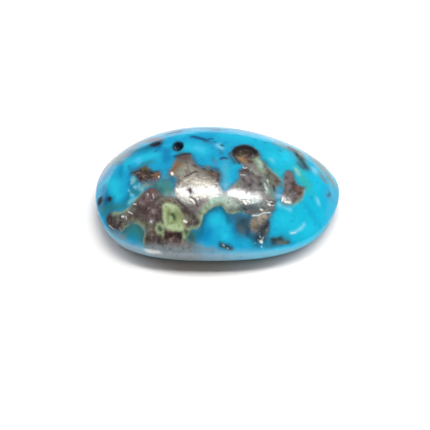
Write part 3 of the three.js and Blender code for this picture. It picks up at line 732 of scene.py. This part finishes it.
# Soft colours of the rock and the pyrite, laid on in order in the same way
ROCK_TINTS = [
    (UMBER, 0.97, 0.5, [(-11.1, -4.7), (-10.3, -5.3), (-9.9, -5.7)]),
    (STONE_GREY, 0.7, 0.35, [(-9.9, -5.2), (-9.2, -5.3)]),
    (SAGE_GREY, 0.8, 0.25, [(-9.4, -5.9), (-8.4, -5.9)]),
    (STONE_GREY, 0.6, 0.25, [(-8.9, -4.9), (-8.2, -5.05)]),
    (UMBER, 0.4, 0.4, [(-9.6, -5.3), (-8.8, -5.4)]),
    (UMBER, 0.6, 0.5, [(-8.0, -5.2), (-7.0, -5.6)]),
    (MAUVE, 0.8, 0.2, [(-7.7, -4.5), (-7.5, -4.65)]),
    (MAUVE, 0.9, 0.2, [(-7.0, -4.3), (-6.85, -4.6)]),
    (RUST, 0.4, 0.3, [(-6.8, -3.7), (-6.3, -3.75)]),
    (STEEL, 0.5, 0.25, [(-6.4, -4.5), (-6.0, -4.3)]),
    (MAUVE, 0.7, 0.2, [(-6.5, -5.6), (-6.1, -5.7)]),
    (UMBER, 0.5, 0.3, [(-6.0, -6.2), (-5.8, -5.8)]),
    (SAGE_GREY, 0.7, 0.35, [(-7.8, -6.3), (-6.8, -6.8)]),
    (PEARL, 0.7, 0.14, [(-6.66, -6.33), (-6.55, -6.4)]),
    (SAGE_GREY, 0.6, 0.25, [(-5.8, -4.9), (-5.2, -4.7)]),
    (OLD_BRASS, 0.4, 0.25, [(-5.3, -4.85), (-4.8, -4.95)]),
    (SAGE, 0.7, 0.18, [(-10.4, -4.65), (-9.5, -4.9), (-9.0, -4.7)]),
    (UMBER, 0.7, 0.35, [(-7.0, -7.5), (-5.4, -7.9)]),
    (MAROON, 0.97, 0.32, [(-5.1, -7.5), (-4.4, -7.55), (-3.7, -7.6)]),
    (MOSS, 0.9, 0.3, [(-3.15, -7.45), (-2.9, -7.9)]),
    (MOSS, 0.95, 0.3, [(-5.8, -6.92), (-5.68, -7.04)]),
    (STONE_GREY, 0.75, 0.3, [(-7.0, -8.0), (-5.0, -8.2), (-3.0, -8.3), (-2.0, -8.5)]),
    (UMBER, 0.6, 0.9, [(-7.8, -1.5), (-6.8, -2.0)]),
    (CHARCOAL, 0.97, 0.24, [(-8.85, -1.2), (-7.9, -1.3)]),
    (SAGE_GREY, 0.7, 0.14, [(-8.45, -1.45), (-8.3, -1.6)]),
    (UMBER, 0.9, 0.2, [(-8.1, -1.3), (-7.9, -1.9), (-7.65, -2.3)]),
    (OLIVE, 0.6, 0.3, [(-7.5, -0.95), (-7.1, -1.2)]),
    (UMBER, 0.6, 0.2, [(-7.2, -1.6), (-7.0, -2.4)]),
    (RUST, 0.3, 0.15, [(-7.6, -1.55), (-7.55, -1.8)]),
    (UMBER, 0.9, 0.18, [(-6.75, -1.7), (-6.6, -2.3)]),
    (CHARCOAL, 0.9, 0.15, [(-6.7, -1.65), (-6.0, -1.7)]),
    (BRONZE, 0.7, 0.22, [(-6.3, -2.15), (-6.05, -2.2)]),
    (MAUVE, 0.7, 0.2, [(-6.45, -2.65), (-6.1, -2.7)]),
    (BEIGE, 1.0, 1.3, [(-3.4, -2.0), (-2.0, -3.4), (-1.2, -4.2)]),
    (BEIGE, 0.9, 0.6, [(-3.9, -4.2), (-3.0, -5.1)]),
    (BRONZE, 0.7, 0.45, [(-4.6, -1.9), (-3.9, -1.2)]),
    (MAUVE, 0.8, 0.3, [(-3.7, -0.4), (-3.2, -0.45)]),
    (RUST, 0.4, 0.2, [(-3.6, -0.5), (-3.3, -0.5)]),
    (STONE_GREY, 0.6, 0.25, [(-3.8, -0.9), (-3.3, -1.0)]),
    (SAGE, 0.5, 0.3, [(-3.7, -1.9), (-3.6, -2.3)]),
    (MAUVE, 0.7, 0.2, [(-3.25, -2.05), (-3.1, -2.4)]),
    (STEEL, 0.8, 0.14, [(-2.75, -0.5), (-2.3, -1.3), (-1.7, -1.85), (-0.6, -2.1), (0.0, -2.5)]),
    (RUST, 0.4, 0.22, [(-0.75, -2.45), (-0.5, -2.6)]),
    (OLIVE, 0.35, 0.15, [(-1.0, -2.3), (-0.8, -2.3)]),
    (STEEL, 0.6, 0.18, [(0.0, -2.8), (-0.1, -3.4)]),
    (STEEL, 0.7, 0.2, [(-4.1, -2.8), (-3.9, -3.2), (-4.05, -3.8)]),
    # Partly painted highlight: silver across the central plate where the strip lamp's reflection falls
    (SILVER, 0.9, 0.5, [(-3.6, -4.3), (-2.0, -4.3), (-0.4, -4.3)]),
    (MAUVE_GREY, 0.9, 0.25, [(-2.85, -4.2), (-2.6, -4.5)]),
    (STONE_GREY, 0.7, 0.3, [(-3.6, -5.0), (-2.8, -5.35)]),
    (MAUVE, 0.6, 0.25, [(-2.25, -5.1), (-2.0, -5.8)]),
    (PALE_STONE, 0.7, 0.25, [(-1.9, -5.05), (-1.0, -4.95)]),
    (UMBER, 0.85, 0.4, [(-3.3, -5.9), (-2.6, -6.1)]),
    (STEEL, 0.5, 0.3, [(-2.4, -5.8), (-2.1, -6.2)]),
    (UMBER, 0.7, 0.3, [(-2.3, -6.5), (-2.0, -6.85)]),
    (SAGE_GREY, 0.8, 0.22, [(-3.2, -6.45), (-2.7, -6.6)]),
    (SAGE, 0.9, 0.35, [(-1.6, -6.4), (-1.2, -5.7), (-0.7, -5.35)]),
    (PALE_SAGE, 0.9, 0.36, [(-0.5, -5.2), (0.4, -4.95), (1.2, -5.0)]),
    (MAUVE_GREY, 0.75, 0.18, [(-1.9, -5.35), (-1.0, -5.02)]),
    (PALE_STONE, 0.6, 0.18, [(-0.6, -4.88), (0.3, -4.62)]),
    # Painted highlight: the lamp's reflection along the pale sage band
    (PEARL, 0.7, 0.2, [(-0.3, -4.65), (1.2, -4.7)]),
    (PALE_SAGE, 0.7, 0.36, [(1.0, -5.4), (2.1, -5.5)]),
    (BEIGE, 0.25, 0.3, [(0.9, -5.2), (1.9, -5.2)]),
    (UMBER, 0.9, 0.5, [(2.0, 0.6), (2.6, 0.8), (3.4, 0.6)]),
    (CHARCOAL, 0.6, 0.3, [(3.6, 0.7), (4.0, 0.1)]),
    (INK, 0.5, 0.2, [(1.5, 0.5), (1.6, -0.1)]),
    (STEEL, 0.5, 0.2, [(1.8, -0.5), (2.1, -1.1)]),
    (OLIVE, 0.4, 0.25, [(2.2, 0.45), (2.6, 0.4)]),
    (OLD_BRASS, 1.0, 0.4, [(2.4, -0.3), (2.65, -0.9)]),
    (BRONZE, 0.6, 0.3, [(2.4, -0.35), (2.65, -0.8)]),
    (RUST, 0.4, 0.25, [(3.1, -0.4), (3.4, -0.6)]),
    (MAUVE_GREY, 0.8, 0.2, [(2.4, -1.3), (2.6, -1.4)]),
    (SAGE, 0.9, 0.46, [(3.9, -0.4), (4.15, -1.2), (4.4, -1.9)]),
    (PALE_SAGE, 0.5, 0.2, [(4.1, -0.7), (4.3, -1.3)]),
    (STONE_GREY, 0.7, 0.3, [(3.2, -1.4), (3.6, -1.8)]),
    (STEEL, 0.95, 1.3, [(3.0, -2.8), (4.4, -3.2), (3.6, -4.6)]),
    (MAUVE_GREY, 0.5, 0.4, [(2.7, -2.9), (3.5, -3.1)]),
    (SAGE, 0.4, 0.3, [(1.8, -3.6), (2.2, -3.4)]),
    (PALE_SAGE, 0.7, 0.22, [(4.95, -2.7), (4.75, -3.3), (4.95, -3.9)]),
    (UMBER, 0.5, 0.22, [(2.6, -2.2), (3.4, -2.3)]),
    (UMBER, 0.4, 0.25, [(2.5, -3.1), (3.2, -3.4)]),
    (UMBER, 0.45, 0.18, [(3.9, -2.6), (4.3, -3.4)]),
    (PALE_STONE, 0.6, 0.2, [(3.4, -1.9), (3.9, -2.2)]),
    (SAGE_GREY, 0.8, 0.35, [(5.2, -2.3), (5.6, -3.1)]),
    (SEA_GREY, 0.7, 0.3, [(5.4, -3.7), (5.5, -4.4)]),
    # Partly painted highlight: silver across the right plate where the strip lamp's reflection falls
    (SILVER, 0.9, 0.5, [(1.2, -4.4), (2.2, -4.5), (3.2, -4.8), (4.0, -4.8)]),
    (MINT, 0.22, 0.4, [(3.4, -5.15), (4.7, -5.25)]),
    (DARK_SLATE, 0.65, 0.38, [(2.4, -5.65), (3.8, -5.55)]),
    (STONE_GREY, 0.6, 0.3, [(4.3, -5.1), (5.2, -5.2)]),
    (OLD_BRASS, 0.95, 0.4, [(3.5, -6.95), (3.7, -6.4), (4.8, -6.0)]),
    (BEIGE, 0.55, 0.25, [(3.9, -6.3), (4.7, -5.95)]),
    (STONE_GREY, 0.25, 0.35, [(3.5, -6.9), (4.6, -6.1)]),
    (DARK_SLATE, 0.9, 0.3, [(4.3, -7.25), (4.9, -6.85), (5.25, -6.45)]),
    (CHARCOAL, 0.7, 0.2, [(4.2, -7.3), (4.75, -6.85), (5.2, -6.4)]),
    (SAGE_GREY, 0.5, 0.1, [(4.9, -7.05), (5.1, -6.8)]),
    (MAUVE_GREY, 0.7, 0.5, [(7.0, -1.5), (7.0, -3.2)]),
    (RUST, 0.35, 0.3, [(8.0, -2.9), (8.3, -2.75)]),
    (UMBER, 0.5, 0.2, [(7.65, -2.4), (7.7, -3.3)]),
    (CHARCOAL, 0.8, 0.15, [(8.5, -2.5), (8.7, -2.5)]),
    (STONE_GREY, 0.6, 0.3, [(7.2, -3.6), (7.6, -3.7)]),
    # Partly painted highlight: silver on the right patch's foot
    (SILVER, 0.8, 0.3, [(6.6, -4.3), (7.2, -4.35)]),
    (STONE_GREY, 0.85, 0.7, [(-11.4, 3.8), (-9.0, 4.8), (-6.8, 5.4)]),
    (MAUVE, 0.6, 0.6, [(-10.4, 6.6), (-8.4, 7.8)]),
    (BEIGE, 0.9, 0.6, [(-8.8, 6.1), (-7.6, 6.3)]),
    (STONE_GREY, 0.85, 0.6, [(6.6, 5.0), (8.8, 4.5), (10.8, 3.0)]),
    (RUST, 0.4, 0.5, [(8.4, 5.6), (9.6, 5.0)]),
    (BEIGE, 0.8, 1.2, [(38.2, 0.4), (40.2, 1.6)]),
]
# Soft colours of the wall, laid on in the same way: a painted reflection of the pale table, greyer
# along the left end and the front, with a painted glare of the lamp low at the front
WALL_REFLECTION_TINTS = [
    (WALL_REFLECTION_GREY, 0.95, 2.2, [(-13.5, -3.5), (-11.0, -7.5), (-7.0, -9.8), (0.0, -10.4)]),
    (PEARL, 0.9, 1.2, [(-13.5, 1.0), (-12.6, 3.4)]),
    (SILVER, 0.97, 0.24, [(-7.3, -8.5), (-6.8, -8.6), (-6.1, -8.65)]),
    (SILVER, 0.97, 0.3, [(-7.3, -8.5), (-7.1, -8.55)]),
]
# Pits and hollows that lost grains left: place on the plan, half sizes along and across, and depth.
# No pit reaches further than PIT_LIMIT from its middle.
PITS = [
    (-4.1, 1.4, 0.56, 0.76, 0.75), (2.75, 0.25, 1.3, 1.05, 0.42), (-6.4, 2.4, 0.48, 0.36, 0.26),
    (-10.95, -2.8, 0.26, 0.34, 0.2), (-4.4, -7.4, 0.85, 0.26, 0.22), (-4.4, -6.2, 0.36, 0.3, 0.16),
]
PIT_LIMIT = 3.0
# How far from an outline its depth is still measured, and how often its corners are cut
FIELD_REACH = 1.5
CORNER_CUTS = 2
# The markings waver slowly and quickly: a fixed seed, waves per millimetre, and how far they drift
DRIFT_SEED = 3
SLOW_WAVES = 1.1
SLOW_DRIFT = 0.12
QUICK_WAVES = 3.1
QUICK_DRIFT = 0.06
# How fast the green rims fade out beside their runs
RIM_FADE = 6
# The wall's painted reflection begins highest at one place along the stone and falls away on both sides
WALL_PEAK = -3.0
WALL_PEAK_RISE = 0.15
WALL_FALL = 0.006
# Where down the side the wall's painted reflection begins and is full, how much it covers, and how much
# darker it is on rock
WALL_BEGINS = -0.3
WALL_FULL = 0.7
WALL_COVER = 0.85
WALL_ROCK_SHADE = 0.9
# Lower than this is the base
BASE_TOP = 0.01


def rounded(outline):
    """A closed outline with its corners cut to curves."""
    points = np.array(outline, float)
    for _ in range(CORNER_CUTS):
        after = np.roll(points, -1, axis=0)
        pair = (0.75 * points + 0.25 * after, 0.25 * points + 0.75 * after)
        points = np.stack(pair, 1).reshape(-1, 2)
    return points


def depth_inside(outline, plan):
    """How far each place lies inside a closed outline, in mm: negative outside, within FIELD_REACH."""
    corners = rounded(outline)
    depth = np.full(len(plan), -FIELD_REACH)
    near = ((plan > corners.min(0) - FIELD_REACH) & (plan < corners.max(0) + FIELD_REACH)).all(1)
    spots = plan[near]
    nearest = np.full(len(spots), FIELD_REACH ** 2)
    inside = np.zeros(len(spots), bool)
    for start, end in zip(corners, np.roll(corners, -1, axis=0)):
        edge = end - start
        offset = spots - start
        along = np.clip(offset @ edge / (edge @ edge), 0, 1)
        nearest = np.minimum(nearest, ((offset - along[:, None] * edge) ** 2).sum(1))
        crosses = (start[1] > spots[:, 1]) != (end[1] > spots[:, 1])
        if edge[1]:
            inside ^= crosses & (offset[:, 0] < offset[:, 1] * edge[0] / edge[1])
    depth[near] = np.where(inside, 1, -1) * np.sqrt(nearest)
    return depth


def depth_in_any(outlines, plan):
    """The depth inside whichever outline is deepest at each place."""
    return np.max([depth_inside(outline, plan) for outline in outlines.values()], axis=0)


def gap_to_run(points, plan):
    """The distance from each place to a run of points."""
    points = np.array(points, float)
    gap = np.full(len(plan), np.inf)
    for start, end in zip(points, points[1:]):
        edge = end - start
        offset = plan - start
        along = np.clip(offset @ edge / (edge @ edge), 0, 1)
        gap = np.minimum(gap, np.hypot(*(offset - along[:, None] * edge).T))
    return gap


def depth_in_runs(runs, plan):
    """How far each place lies inside the nearest run of points: negative outside."""
    depths = [half_width - gap_to_run(points, plan) for points, half_width in runs]
    return np.maximum(np.max(depths, axis=0), -FIELD_REACH)


def laid_colours(ground, tints, plan):
    """The colours at each place after all the soft tints are laid on the ground colour."""
    colours = np.tile(np.array(ground), (len(plan), 1))
    for colour, share, half_width, points in tints:
        weight = share * np.exp(-(gap_to_run(points, plan) / half_width) ** 2)
        colours += weight[:, None] * (np.array(colour) - colours)
    return colours


def soft_step(values, low, high):
    """A soft step from 0 to 1 as the values go from low to high."""
    step = np.clip((values - low) / (high - low), 0, 1)
    return step * step * (3 - 2 * step)


def mark_stone(stone):
    """Stores the markings on the mesh's points: depths inside outlines, and the soft colours."""
    mesh = stone.data
    places = np.empty(len(mesh.vertices) * 3, np.float32)
    mesh.vertices.foreach_get("co", places)
    places = places.reshape(-1, 3) / MM
    plan = places[:, :2].astype(float)
    drop = CROWN_FOOT_HEIGHT / MM - places[:, 2]
    outward = plan / np.maximum(np.hypot(*plan.T), 0.001)[:, None]
    plan += outward * np.clip(drop, 0, None)[:, None]
    on_base = places[:, 2] < BASE_TOP
    plan[on_base] = places[on_base, :2] + (BASE_SHIFT, 0)
    noise.seed_set(DRIFT_SEED)
    drift = np.array([
        noise.noise_vector(Vector(place) * SLOW_WAVES) * SLOW_DRIFT
        + noise.noise_vector(Vector(place) * QUICK_WAVES) * QUICK_DRIFT
        for place in places
    ])[:, :2]
    drifted = plan + drift
    half_drifted = plan + drift * 0.5
    wall_rise = WALL_PEAK_RISE - WALL_FALL * (plan[:, 0] - WALL_PEAK) ** 2
    fields = {
        "matrix": depth_in_any(MATRIX_OUTLINES, half_drifted),
        "lime": np.maximum(
            depth_in_any(LIME_OUTLINES, half_drifted),
            depth_in_runs(LIME_EDGES, plan),
        ),
        "pyrite": depth_in_any(PYRITE_OUTLINES, half_drifted),
        "dark": depth_in_any(DARK_OUTLINES, plan),
        "crack": depth_in_runs(CRACKS, half_drifted),
        "painted_glint": depth_in_runs(PAINTED_GLINTS, plan),
        "rim": np.exp(np.minimum(depth_in_runs(GREEN_RIMS, plan), 0) * RIM_FADE),
        "wall": soft_step(drop + wall_rise, WALL_BEGINS, WALL_FULL),
    }
    for name, field in fields.items():
        layer = mesh.attributes.new(name, "FLOAT", "POINT")
        layer.data.foreach_set("value", field.astype(np.float32))
    turquoise = laid_colours(AZURE, TURQUOISE_TINTS, drifted)
    rock = laid_colours(PLUM_BROWN, ROCK_TINTS, drifted)
    lime = laid_colours(LIME, LIME_TINTS, half_drifted)
    on_wall = fields["wall"][:, None]
    # The wall's painted reflection of the table, laid over the turquoise and the rock
    wall = laid_colours(WALL_REFLECTION_BLUE, WALL_REFLECTION_TINTS, drifted)
    turquoise += WALL_COVER * on_wall * (wall - turquoise)
    rock += WALL_COVER * on_wall * (wall * WALL_ROCK_SHADE - rock)
    for name, colours in (("turquoise", turquoise), ("rock", rock), ("green", lime)):
        layer = mesh.attributes.new(name, "FLOAT_COLOR", "POINT")
        layer.data.foreach_set("color", colours.astype(np.float32).ravel())


def sink_pits(stone):
    """Presses the pits into the dome: each is half an egg set square to the surface."""
    mesh = stone.data
    count = len(mesh.vertices)
    places = np.empty(count * 3, np.float32)
    normals = np.empty(count * 3, np.float32)
    mesh.vertices.foreach_get("co", places)
    mesh.vertices.foreach_get("normal", normals)
    places = places.reshape(-1, 3) / MM
    normals = normals.reshape(-1, 3)
    upward = normals[:, 2] > 0
    moved = places.copy()
    for x, y, half_along, half_across, depth in PITS:
        gap = np.hypot(places[:, 0] - x, places[:, 1] - y)
        middle = np.argmin(np.where(upward, gap, np.inf))
        axis = Vector(normals[middle])
        turn = np.array(Vector((0, 0, 1)).rotation_difference(axis).to_matrix())
        local = (places - places[middle]) @ turn
        spread = (local[:, 0] / half_along) ** 2 + (local[:, 1] / half_across) ** 2
        inside = upward & (spread < 1) & (gap < PIT_LIMIT)
        sink = depth * np.sqrt(1 - spread[inside]) + local[inside, 2]
        moved[inside] -= np.array(axis) * np.maximum(sink, 0)[:, None]
    mesh.vertices.foreach_set("co", (moved * MM).astype(np.float32).ravel())
    mesh.update()


# Stone, its polish
# The wheel polished turquoise, rock and pyrite together, so one finish covers them all: glassy blue
# stone, slightly duller mottled rock, and metal plates with small waves that break up reflections.
# Both ends are polished a little flatter than the dome: where that begins, in mm, and how fast
FLAT_END = 9.4
END_EASE = 0.022
# Plain turquoise: how rough its polish is, and how strongly it reflects
POLISH_ROUGHNESS = 0.12
STONE_IOR = 1.61
STONE_SPECULAR = 0.16
# Colours that the finish lays over the markings
PIT_BLACK = tone(31, 28, 33)
# White of the painted highlights on the glints
PAINTED_GLINT_WHITE = tone(240, 238, 232)
PINK_GREY = tone(164, 146, 142)
ROCK_SHADE = tone(150, 146, 144)
RIM_GREEN = tone(142, 168, 126)


def rise(value, low, high):
    """A soft step from 0 to 1 as the value goes from low to high."""
    return value.node("ShaderNodeMapRange", {"interpolation_type": "SMOOTHSTEP"},
                      {"Value": value, "From Min": low, "From Max": high})


def blend(share, under, over, manner="MIX"):
    """One colour over another by a share."""
    settings = {"data_type": "RGBA", "clamp_factor": True, "blend_type": manner}
    return share.node("ShaderNodeMix", settings, {0: share, 6: under, 7: over}, 2)


def turquoise_finish():
    """The finish of the whole stone, in millimetres of the object's own frame."""
    material = bpy.data.materials.new("polished_turquoise")
    material.use_nodes = True
    tree = material.node_tree
    shader = tree.nodes["Principled BSDF"]
    start = Wire(tree)
    place = start.node("ShaderNodeVectorMath", {"operation": "SCALE"}, {
        0: start.node("ShaderNodeTexCoord", None, None, "Object"),
        "Scale": 1 / MM,
    })

    def grain(scale, detail, roughness, shift=0.0):
        """Noise of so many lumps per millimetre, centred on 0."""
        moved = start.vector("ADD", place, (shift, shift, shift))
        return start.node("ShaderNodeTexNoise", None, {
            "Vector": moved, "Scale": scale, "Detail": detail, "Roughness": roughness,
        }) - 0.5

    def field(name, out="Fac"):
        """A marking stored on the mesh: its value, or its colour."""
        return start.node("ShaderNodeAttribute", {"attribute_name": name}, None, out)

    wander = grain(2.0, 3.0, 0.6) * 0.32 + grain(6.0, 2.0, 0.6, 7.0) * 0.1
    matrix_depth = field("matrix") + wander
    lime_depth = field("lime") + wander * 0.6
    pyrite_depth = field("pyrite") + wander
    in_matrix = rise(matrix_depth, -0.26, 0.2)
    in_matrix = in_matrix + (rise(matrix_depth, -0.9, 0.7) - in_matrix) * field("wall")
    in_lime = rise(lime_depth, -0.2, 0.16)
    in_pyrite = rise(pyrite_depth, -0.25, 0.25)
    in_dark = rise(field("dark") + wander * 0.5, -0.2, 0.16)
    in_crack = rise(field("crack") + wander * 0.3, -0.12, 0.07)
    in_painted_glint = rise(field("painted_glint") + wander * 0.2, -0.07, 0.06)

    patches = grain(1.4, 3.0, 0.6, 5.0)
    cloud = grain(1.0, 3.0, 0.55, 3.0) + grain(2.6, 3.0, 0.6, 11.0) * 0.7
    body = field("turquoise", "Color")
    blueness = rise(start.node("ShaderNodeSeparateColor", None, {0: body}, "Blue"), 0.15, 0.5)
    body = blend(rise(cloud, 0.02, 0.35) * blueness * 0.45, body, PALE_AZURE)
    body = blend(rise(cloud * -1, 0.02, 0.35) * blueness * 0.45, body, DEEP_AZURE)
    # Away from the wall, whose painted reflection covers the markings' texture
    on_dome = 1 - field("wall") * WALL_COVER
    body = blend(rise(field("matrix") + patches, -0.5, 0.05) * on_dome * 0.55, body, SLATE)
    rim = rise(matrix_depth, -0.18, -0.06) * field("rim") * rise(patches, -0.25, 0.1)
    body = blend(rim * 0.9, body, RIM_GREEN)

    blotch = grain(2.3, 2.0, 0.6, 19.0)
    speckle = grain(3.6, 3.0, 0.65, 9.0)
    grit = grain(5.5, 3.0, 0.7, 15.0)
    rock = blend(rise(patches * -1, 0.0, 0.25) * 0.45, field("rock", "Color"), ROCK_SHADE, "MULTIPLY")
    rock = blend(rise(blotch * -1, 0.02, 0.2) * on_dome * 0.7, rock, ROCK_SHADE, "MULTIPLY")
    rock = blend(rise(blotch, 0.04, 0.22) * on_dome * 0.45, rock, PINK_GREY)
    rock = blend(rise(speckle * -1, 0.05, 0.22) * on_dome * 0.5, rock, ROCK_SHADE, "MULTIPLY")
    rock = blend(rise(grit, 0.14, 0.28) * on_dome * 0.35, rock, SILVER)
    green = blend(rise(patches, -0.02, 0.2) * 0.5, field("green", "Color"), PALE_LIME)
    green = blend(rise(blotch * -1, 0.0, 0.2) * 0.45, green, OLIVE)
    plate = blend(rise(patches * -1, 0.05, 0.25) * 0.5, field("rock", "Color"), ROCK_SHADE, "MULTIPLY")
    plate = blend(rise(grit * -1, 0.04, 0.2) * 0.7, plate, ROCK_SHADE, "MULTIPLY")

    metal = in_pyrite * (1 - in_lime)
    colour = blend(in_matrix, body, blend(metal, rock, plate))
    colour = blend(in_lime, colour, green)
    colour = blend(in_crack * 0.85, colour, UMBER)
    colour = blend(in_dark * 0.93, colour, PIT_BLACK)
    # Painted highlights: the glints are laid on in plain white, without metal
    colour = blend(in_painted_glint, colour, PAINTED_GLINT_WHITE)
    metal = metal * in_matrix * (1 - in_dark) * (1 - in_crack) * (1 - in_painted_glint)
    tree.links.new(colour.socket, shader.inputs["Base Color"])
    tree.links.new((metal * 0.65).socket, shader.inputs["Metallic"])
    rough = POLISH_ROUGHNESS + in_matrix * 0.1 + metal * 0.05 + in_dark * 0.5
    tree.links.new(rough.socket, shader.inputs["Roughness"])
    shader.inputs["IOR"].default_value = STONE_IOR
    shader.inputs["Specular IOR Level"].default_value = STONE_SPECULAR

    height = metal * (grain(1.6, 3.0, 0.6, 2.0) * 0.06 + grain(6.0, 3.0, 0.6, 4.0) * 0.026)
    height = height + in_matrix * on_dome * grain(4.0, 3.0, 0.6, 6.0) * 0.012
    along = start.math("ABSOLUTE", place.part(0))
    height = height + start.math("MAXIMUM", along - FLAT_END, 0.0) ** 2 * END_EASE
    bump = start.node("ShaderNodeBump", None, {"Strength": 1.0, "Distance": MM, "Height": height})
    tree.links.new(bump.socket, shader.inputs["Normal"])
    return material


stone = ground_stone(turquoise_finish())
mark_stone(stone)
sink_pits(stone)
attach(stone, "root")
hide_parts(STONE_NODE)

# Table and studio
# A plain pale table top that the stone rests on. A long strip lamp makes the highlight on the
# polish; soft boxes light the stone and the table apart, two cool ones from the sides of the table
# and a warm one over it, in a dim surround that is brighter behind and overhead.
FLOOR_HALF = 2.0
TABLE_COLOUR = (0.35, 0.34, 0.33, 1.0)
TABLE_ROUGHNESS = 0.9
FRONT_GLOW = (0.04, 0.035, 0.03, 1.0)
BACK_GLOW = (0.1, 0.1, 0.1, 1.0)
LOW_SHEEN = (0.12, 0.12, 0.12, 1.0)
HIGH_SHEEN = (0.38, 0.38, 0.38, 1.0)
WHITE_LIGHT = (1.0, 1.0, 1.0)
COOL_LIGHT = (0.8, 0.88, 1.0)
WARM_LIGHT = (1.0, 0.86, 0.72)
TABLE_AIM = (0, 0, 0)
STONE_AIM = (0, 0, 0.01)
floor_mesh = bpy.data.meshes.new("table_top")
floor_mesh.from_pydata(
    [
        (x * FLOOR_HALF, y * FLOOR_HALF, stone_low.z)
        for x, y in ((-1, -1), (1, -1), (1, 1), (-1, 1))
    ],
    [],
    [(0, 1, 2, 3)],
)
floor = bpy.data.objects.new("table_top", floor_mesh)
bpy.context.scene.collection.objects.link(floor)
table_white = bpy.data.materials.new("table_white")
table_white.use_nodes = True
table_shader = table_white.node_tree.nodes["Principled BSDF"]
table_shader.inputs["Base Color"].default_value = TABLE_COLOUR
table_shader.inputs["Roughness"].default_value = TABLE_ROUGHNESS
floor_mesh.materials.append(table_white)

world = bpy.data.worlds.new("white_surround")
bpy.context.scene.world = world
world.use_nodes = True
surround = world.node_tree.nodes["Background"]
outside = Wire(world.node_tree)
towards = outside.node("ShaderNodeTexCoord", None, None, "Generated")
ahead, aloft = (towards.part(axis) for axis in (1, 2))
in_gloss = outside.node("ShaderNodeLightPath", None, None, "Is Glossy Ray")
glow = blend(rise(ahead, -0.6, 0.7), FRONT_GLOW, BACK_GLOW)
sheen = blend(rise(aloft, 0.1, 0.65), LOW_SHEEN, HIGH_SHEEN)
world.node_tree.links.new(blend(in_gloss, glow, sheen).socket, surround.inputs["Color"])


def soft_box(name, place, aim, width, depth, radiance, lights, tint=WHITE_LIGHT):
    """A rectangular lamp that faces a point, its width level: its brightness and what it lights."""
    lamp = bpy.data.lights.new(name, "AREA")
    lamp.shape = "RECTANGLE"
    lamp.size = width
    lamp.size_y = depth
    lamp.energy = radiance * math.pi * width * depth
    lamp.color = tint
    box = bpy.data.objects.new(name, lamp)
    back = (Vector(place) - Vector(aim)).normalized()
    side = Vector((1, 0, 0))
    side = (side - back * side.dot(back)).normalized()
    box.matrix_world = Matrix((side, back.cross(side), back)).transposed().to_4x4()
    box.location = place
    bpy.context.scene.collection.objects.link(box)
    lit = bpy.data.collections.new(name + "_lights")
    lit.objects.link(lights)
    box.light_linking.receiver_collection = lit
    return box


highlight = soft_box(
    "highlight_box", (0.085, -0.083, 0.4), (0.085, -0.083, 0), 0.45, 0.046, 12.5, stone,
)
highlight.visible_diffuse = False
fills = [
    soft_box("table_key", (0.085, 0.252, 0.4), TABLE_AIM, 0.5, 0.115, 44.0, floor),
    soft_box("table_left", (-0.465, 0.247, 0.22), TABLE_AIM, 0.5, 0.115, 44.0, floor, COOL_LIGHT),
    soft_box("table_right", (0.635, 0.247, 0.22), TABLE_AIM, 0.5, 0.115, 96.0, floor, COOL_LIGHT),
    soft_box("table_fill", (0.1, -0.2, 0.5), TABLE_AIM, 0.8, 0.8, 0.52, floor, WARM_LIGHT),
    soft_box("stone_key", (0.1, 0.26, 0.4), TABLE_AIM, 0.09, 0.09, 95.0, stone),
    soft_box("front_fill", (0, -0.5, 0.045), STONE_AIM, 0.7, 0.08, 11.5, stone),
    soft_box("left_fill", (-0.5, -0.05, 0.045), STONE_AIM, 0.5, 0.08, 8.5, stone),
    soft_box("right_fill", (0.5, -0.05, 0.045), STONE_AIM, 0.5, 0.08, 6.0, stone),
]
for fill in fills:
    fill.visible_glossy = False

# Camera
# It looks down on the stone's long side at 47 degrees from 22 cm away, rolled by less than a degree.
# The lens and the gaze put TARGET_PIXEL, counted from the top left, on the middle of the stone.
VIEW_ELEVATION = math.radians(47)
VIEW_ROLL = math.radians(0.715)
VIEW_DISTANCE = 0.22
VIEW_TARGET = Vector((0, 0, 3 * MM))
FRAME_PIXELS = 430
TARGET_PIXEL = (217.77, 182.26)
PIXELS_PER_MM = 9.782
back = Vector((0, -math.cos(VIEW_ELEVATION), math.sin(VIEW_ELEVATION)))
right = Vector((1, 0, 0))
up = back.cross(right)
roll = Matrix.Rotation(VIEW_ROLL, 3, back)
right, up = roll @ right, roll @ up
eye = VIEW_TARGET + back * VIEW_DISTANCE
off_x = (FRAME_PIXELS / 2 - TARGET_PIXEL[0]) / PIXELS_PER_MM * MM
off_y = (TARGET_PIXEL[1] - FRAME_PIXELS / 2) / PIXELS_PER_MM * MM
gaze = (VIEW_TARGET + right * off_x + up * off_y - eye).normalized()
side = gaze.cross(up).normalized()
camera_data = bpy.data.cameras.new("photo_camera")
camera_data.sensor_width = 36.0
camera_data.lens = camera_data.sensor_width * PIXELS_PER_MM / MM * VIEW_DISTANCE / FRAME_PIXELS
camera_data.clip_start = 0.01
camera = bpy.data.objects.new("photo_camera", camera_data)
camera.matrix_world = Matrix((side, side.cross(gaze), -gaze)).transposed().to_4x4()
camera.location = eye
bpy.context.scene.collection.objects.link(camera)
bpy.context.scene.camera = camera
bpy.context.scene.view_settings.view_transform = "Standard"
